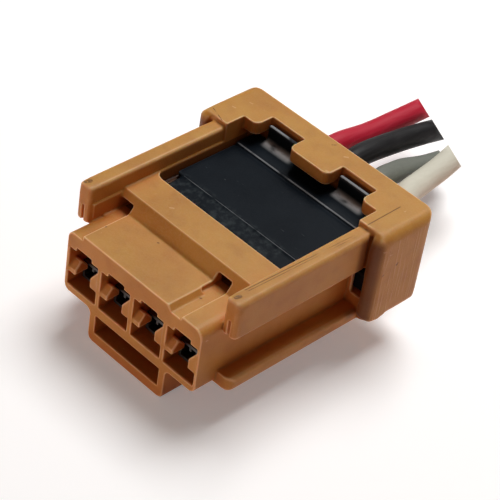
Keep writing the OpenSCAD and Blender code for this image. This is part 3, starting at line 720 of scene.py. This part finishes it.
class CONNECTOR_OT_wires(bpy.types.Operator):
    """Lays the cut wires along their routes, with strands in their ends"""

    bl_idname = "connector.wires"
    bl_label = "Wires"

    def execute(self, context):
        sizes = context.scene.connector_sizes
        colours = context.scene.connector_colours
        tints = {
            "red": (tuple(colours.red), linear("#C45060"), sizes.red_od),
            "black": (tuple(colours.black_wire), linear("#4A4A4C"), sizes.black_od),
            "grey": (tuple(colours.grey), linear("#94978E"), sizes.grey_od),
            "white": (tuple(colours.white), linear("#E4E2D6"), sizes.white_od),
        }
        tube_tree = insulation_group()
        strand_tree = strands_group()
        copper = bare_copper(colours)
        for way, name in enumerate(WIRE_ORDER):
            colour, pale, od = tints[name]
            line = smooth_route(route_points(way, ROUTES[name]))
            carrier = path_object("path_" + name, line)
            insulation = pvc_insulation(name, colour, pale)
            run_group(carrier, tube_tree, {
                "Radius": od / 2, "Squeeze": sizes.crimp_share, "Material": insulation})
            wall = carrier.modifiers.new("wall", "SOLIDIFY")
            wall.thickness = od / 2 - BUNDLE_RADIUS * sizes.strand_gap
            wall.offset = -1
            wire = plain_mesh(carrier, "insulation_" + name)
            tail = strand_line(line, sizes.strand_recess)
            end = path_object("strand_path_" + name, tail)
            run_group(end, strand_tree, {
                "Spacing": sizes.strand_gap, "Twist": STRAND_TWIST, "Material": copper})
            strands = plain_mesh(end, "strands_" + name)
            slant_end(wire, line)
            slant_end(strands, tail)
            for piece in (wire, strands):
                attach(piece, BODY)
            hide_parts("wire_" + name)
        return {"FINISHED"}


def route_points(way, route):
    """Route points in metres, placed from the receptacle of that way."""
    low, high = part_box("terminal_%d" % (way + 1))
    start = Vector(((low.x + high.x) / 2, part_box("housing")[0].y, CAVITY_ROOF))
    return [start + Vector(p) * MM for p in route]


def strand_line(line, recess):
    """The last stretch of a wire's line, ending a little behind the cut."""
    tail = [p.copy() for p in line[-STRAND_POINTS:]]
    tail[-1] = tail[-1] + (tail[-2] - tail[-1]).normalized() * recess
    return tail


def slant_end(piece, line):
    """Slides the last ring of a swept piece along the wire onto the slanted cut."""
    end = line[-1]
    along = (line[-1] - line[-2]).normalized()
    for vertex in piece.data.vertices:
        offset = vertex.co - end
        if offset.dot(along) > -RING_DEPTH and offset.length < RING_REACH:
            vertex.co -= along * (offset.dot(CUT_FACING) / along.dot(CUT_FACING))
    piece.data.update()


class CONNECTOR_OT_stage(bpy.types.Operator):
    """Sets the pale floor, the soft lights and the photograph's camera"""

    bl_idname = "connector.stage"
    bl_label = "Stage"

    def execute(self, context):
        scene = context.scene
        scene.view_settings.view_transform = "Standard"
        low = CAD_BOX[0].z - FLOOR_GAP
        corners = [(x * FLOOR_HALF, y * FLOOR_HALF, low) for x, y in ((-1, -1), (1, -1), (1, 1), (-1, 1))]
        mesh = bpy.data.meshes.new("floor")
        mesh.from_pydata(corners, [], [(0, 1, 2, 3)])
        floor = bpy.data.objects.new("floor", mesh)
        floor.data.materials.append(pale_floor(scene.connector_colours))
        scene.collection.objects.link(floor)
        world = bpy.data.worlds.new("studio")
        world.use_nodes = True
        scene.world = world
        sky = world.node_tree.nodes["Background"]
        sky.inputs["Color"].default_value = (*linear(SKY_TINT), 1)
        sky.inputs["Strength"].default_value = SKY_STRENGTH
        centre = (CAD_BOX[0] + CAD_BOX[1]) / 2
        for name, place, size, power, tint in LAMPS:
            lamp = bpy.data.lights.new(name, "AREA")
            lamp.shape = "RECTANGLE"
            lamp.size, lamp.size_y = size
            lamp.energy = power
            lamp.color = linear(tint)
            light = bpy.data.objects.new(name, lamp)
            light.location = centre + place
            light.rotation_euler = (-place).to_track_quat("-Z", "Y").to_euler()
            scene.collection.objects.link(light)
        camera = bpy.data.cameras.new("camera")
        camera.sensor_width = SENSOR_MM
        camera.lens = FOCAL_PIXELS / PHOTO_PIXELS * SENSOR_MM
        camera.clip_start = NEAREST_SEEN
        camera.clip_end = FARTHEST_SEEN
        eye = bpy.data.objects.new("camera", camera)
        turn = Matrix((CAMERA_RIGHT, CAMERA_UP, CAMERA_BACK)).transposed().to_4x4()
        eye.matrix_world = Matrix.Translation(CAMERA_PLACE) @ turn
        scene.collection.objects.link(eye)
        scene.camera = eye
        return {"FINISHED"}


class CONNECTOR_PT_panel(bpy.types.Panel):
    """Lists the steps that dress the connector"""

    bl_idname = "CONNECTOR_PT_panel"
    bl_label = "Connector"
    bl_space_type = "VIEW_3D"
    bl_region_type = "UI"
    bl_category = "Connector"

    def draw(self, context):
        for step in STEPS:
            self.layout.operator(step.bl_idname)
        for group in (context.scene.connector_sizes, context.scene.connector_colours):
            for name in group.__annotations__:
                self.layout.prop(group, name)


STEPS = (CONNECTOR_OT_stage, CONNECTOR_OT_wires, CONNECTOR_OT_housing, CONNECTOR_OT_retainer,
         CONNECTOR_OT_terminals)
CLASSES = (ConnectorSizes, ConnectorColours, *STEPS, CONNECTOR_PT_panel)


def register():
    """Adds the add-on's classes and its two groups of values."""
    for cls in CLASSES:
        bpy.utils.register_class(cls)
    bpy.types.Scene.connector_sizes = bpy.props.PointerProperty(type=ConnectorSizes)
    bpy.types.Scene.connector_colours = bpy.props.PointerProperty(type=ConnectorColours)


def unregister():
    """Takes away what register added."""
    del bpy.types.Scene.connector_colours
    del bpy.types.Scene.connector_sizes
    for cls in reversed(CLASSES):
        bpy.utils.unregister_class(cls)


def main():
    """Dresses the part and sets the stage."""
    register()
    bpy.ops.connector.stage()
    bpy.ops.connector.wires()
    bpy.ops.connector.housing()
    bpy.ops.connector.retainer()
    bpy.ops.connector.terminals()


if __name__ == "__main__":
    main()
